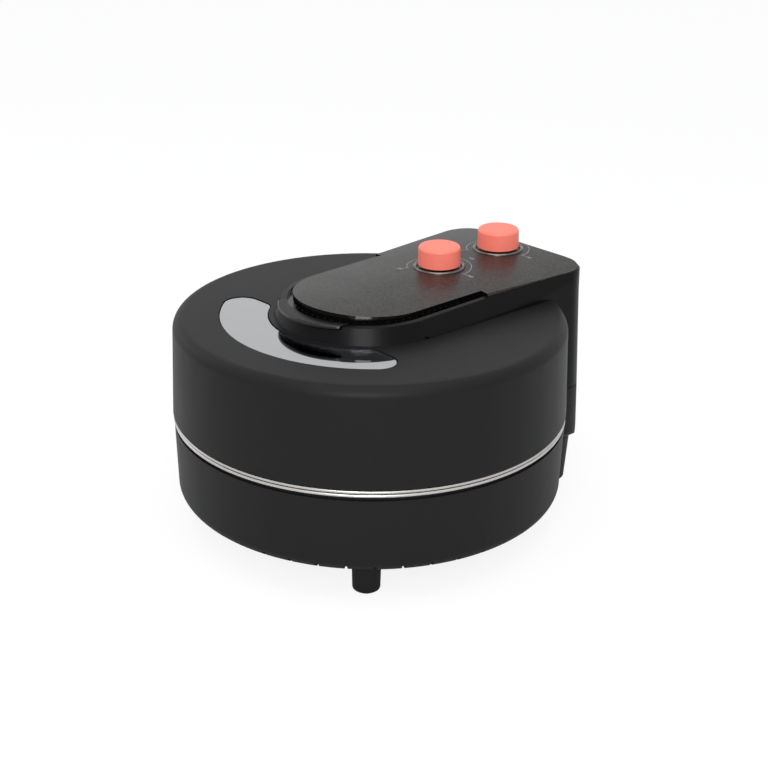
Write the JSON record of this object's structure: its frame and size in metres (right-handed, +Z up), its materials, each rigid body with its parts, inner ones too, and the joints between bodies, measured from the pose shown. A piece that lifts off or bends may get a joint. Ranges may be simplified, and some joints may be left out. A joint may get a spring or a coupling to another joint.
{
  "type": "electric pizza maker",
  "caption": "Round countertop pizza maker with a baking stone, a hinged domed lid with a crescent window, and a control arm that turns down into the hinge tower.",
  "frame": {"origin": "centre of the closed appliance's bounding box, on the table its feet stand on", "axes": "+Z up, +Y towards the hinge tower at the back, +X to the right as seen from the front"},
  "size_m": [0.36, 0.3872, 0.243],
  "materials": {
    "casing": "satin black moulded plastic with a very fine grain",
    "window_trim": "black plastic frame",
    "rubber_trim": "soft black rubber",
    "liner_steel": "bright rolled sheet steel, brushed round the rim",
    "plated_steel": "plain zinc-plated sheet steel",
    "bright_steel": "turned bright steel",
    "element_sheath": "dark oxidised heating-element sheath",
    "baking_stone": "unglazed fired clay stone, dry and slightly grainy",
    "clear_glass": "clear toughened flat glass",
    "panel_satin": "satin warm grey coating with a fine metallic sparkle",
    "bezel_chrome": "bright plated ring with a bevelled edge",
    "switch_case": "pale heat-resistant moulding",
    "timer_case": "dark moulded timer case",
    "coral_knob": "satin coral plastic, smooth all over"
  },
  "bodies": {
    "base": {"base_shell": "casing", "bottom_plate": "plated_steel", "bottom_screws": "bright_steel", "feet": "casing", "foot_pads": "rubber_trim", "rim_gasket": "rubber_trim", "base_liner": "liner_steel", "lower_element": "element_sheath", "lower_element_clips": "plated_steel", "hinge_housing": "casing", "rear_stand": "casing", "base_hinge_bracket": "plated_steel", "hinge_pin": "bright_steel", "terminal_block": "switch_case", "cord_gland": "rubber_trim"},
    "stone": {"pizza_stone": "baking_stone"},
    "lid": {"lid_shell": "casing", "lid_liner": "liner_steel", "upper_element": "element_sheath", "upper_element_clips": "plated_steel", "thermostat_probe": "plated_steel", "window_frame": "window_trim", "window_glass": "clear_glass", "inner_glass": "clear_glass", "arm_housing": "casing", "control_panel": "panel_satin", "lid_handle": "panel_satin", "lid_hinge_bracket": "plated_steel", "hinge_screws": "bright_steel", "temperature_bezel": "bezel_chrome", "timer_bezel": "bezel_chrome", "thermostat": "switch_case", "timer_unit": "timer_case"},
    "temperature_control": {"temperature_knob": "coral_knob", "temperature_shaft": "bright_steel"},
    "timer_control": {"timer_knob": "coral_knob", "timer_shaft": "bright_steel"}
  },
  "joints": [
    {"name": "lid_hinge", "type": "hinge", "parent": "base", "child": "lid", "pos_m": [0, 0.1855, 0.1011], "axis": [-1, 0, 0], "range_deg": [0, 90]},
    {"name": "stone_lift", "type": "slide", "parent": "base", "child": "stone", "axis": [0, 0, 1], "range_m": [0, 0.018]},
    {"name": "temperature_turn", "type": "hinge", "parent": "lid", "child": "temperature_control", "pos_m": [0, 0.07084, 0.23387], "axis": [0, -0.0175, 0.9998], "range_deg": [-270, 0]},
    {"name": "timer_turn", "type": "hinge", "parent": "lid", "child": "timer_control", "pos_m": [0, 0.14922, 0.23524], "axis": [0, -0.0175, 0.9998], "range_deg": [-300, 0]}
  ]
}
